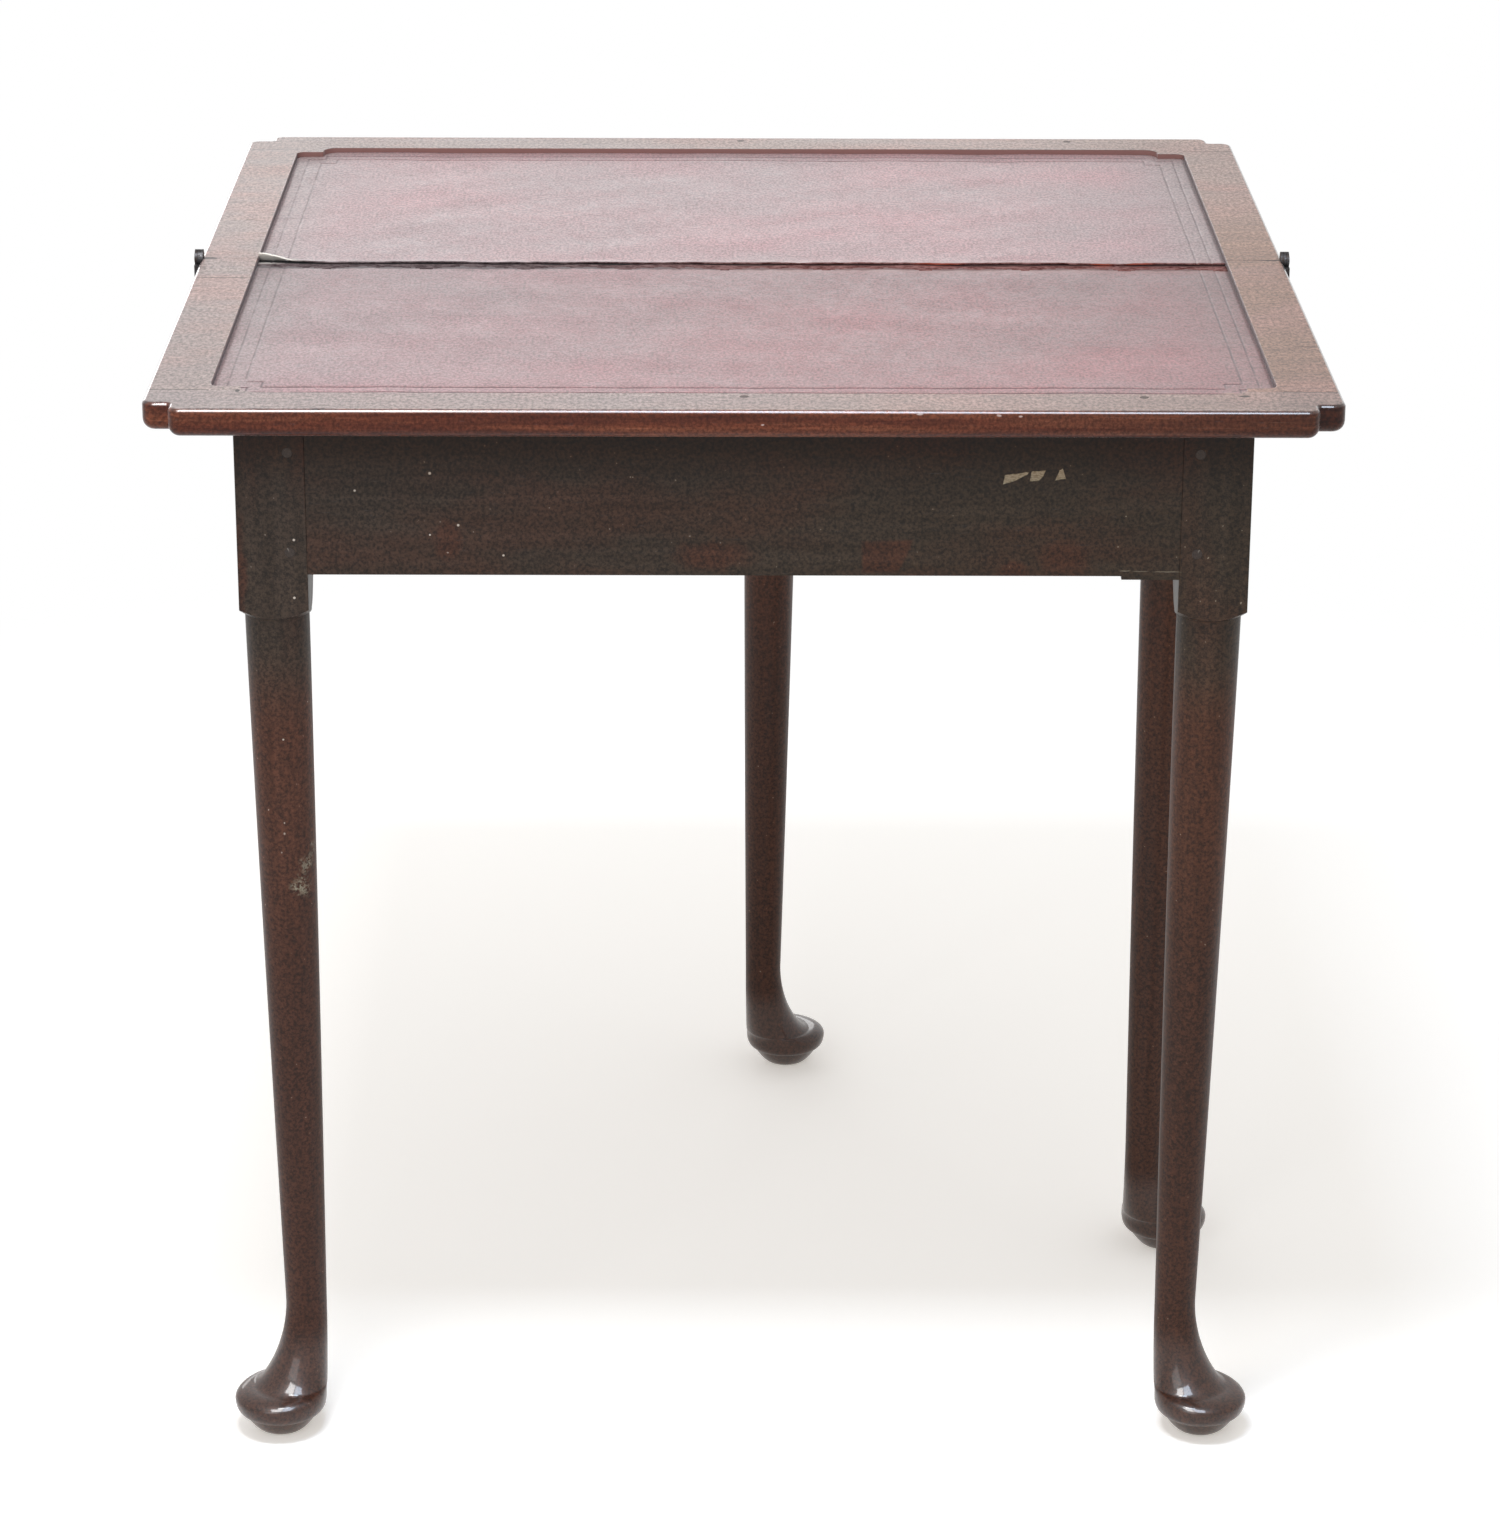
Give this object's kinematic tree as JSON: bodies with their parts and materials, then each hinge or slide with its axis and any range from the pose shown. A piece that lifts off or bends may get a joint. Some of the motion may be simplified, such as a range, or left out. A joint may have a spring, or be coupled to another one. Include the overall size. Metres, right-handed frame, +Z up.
{
  "type": "games table",
  "caption": "Fold-over games table shown open: two hinged leaves with a leather-lined recess on a plain frame, round tapering legs with pad feet, the left rear leg on a swinging gate.",
  "frame": {"origin": "on the floor, straight below the middle of the fold line between the two open leaves", "axes": "+X along the table's width to the right of someone facing its front, -Y towards its front, +Z up"},
  "size_m": [0.7708, 0.7684, 0.7432],
  "materials": {
    "mahogany_top": "waxed old mahogany, pale and worn on top, red-brown on the edges",
    "dark_plug": "dark wood plugs, waxed with the top",
    "tooled_leather": "worn wine-red leather with two blind-tooled lines",
    "wrought_iron": "blackened wrought iron",
    "mahogany_frame": "very dark old mahogany with a soft wax gloss",
    "back_rail_wood": "plain stained secondary wood, dry and unpolished",
    "peg_wood": "end grain pegs, darkened with the frame"
  },
  "bodies": {
    "frame": {"fixed_leaf": "mahogany_top", "fixed_leaf_strip": "mahogany_top", "fixed_leaf_plugs": "dark_plug", "fixed_leaf_lining": "tooled_leather", "fixed_strap_left": "wrought_iron", "fixed_strap_right": "wrought_iron", "hinge_pin_left": "wrought_iron", "hinge_pin_right": "wrought_iron", "fixed_strap_screws": "wrought_iron", "gate_pin": "wrought_iron", "pocket_screws": "wrought_iron", "back_rail_screws": "wrought_iron", "front_left_leg": "mahogany_frame", "front_right_leg": "mahogany_frame", "rear_right_leg": "mahogany_frame", "front_rail": "mahogany_frame", "front_rail_patch": "mahogany_frame", "left_rail": "mahogany_frame", "right_rail": "mahogany_frame", "inner_back_rail": "back_rail_wood", "fixed_outer_rail": "back_rail_wood", "glue_blocks": "back_rail_wood", "corner_block": "back_rail_wood", "frame_pegs": "peg_wood"},
    "folding_leaf": {"folding_leaf": "mahogany_top", "folding_leaf_strip": "mahogany_top", "folding_leaf_plugs": "dark_plug", "folding_leaf_lining": "tooled_leather", "folding_strap_left": "wrought_iron", "folding_strap_right": "wrought_iron", "folding_strap_screws": "wrought_iron"},
    "gate": {"gate_leg": "mahogany_frame", "gate_rail": "back_rail_wood", "gate_pegs": "peg_wood"}
  },
  "joints": [
    {"name": "leaf_fold", "type": "hinge", "parent": "frame", "child": "folding_leaf", "pos_m": [0, 0, 0.7372], "axis": [1, 0, 0], "range_deg": [0, 180]},
    {"name": "gate_swing", "type": "hinge", "parent": "frame", "child": "gate", "pos_m": [0.022, -0.0597, 0.66825], "axis": [0, 0, 1], "range_deg": [0, 92.5]}
  ]
}
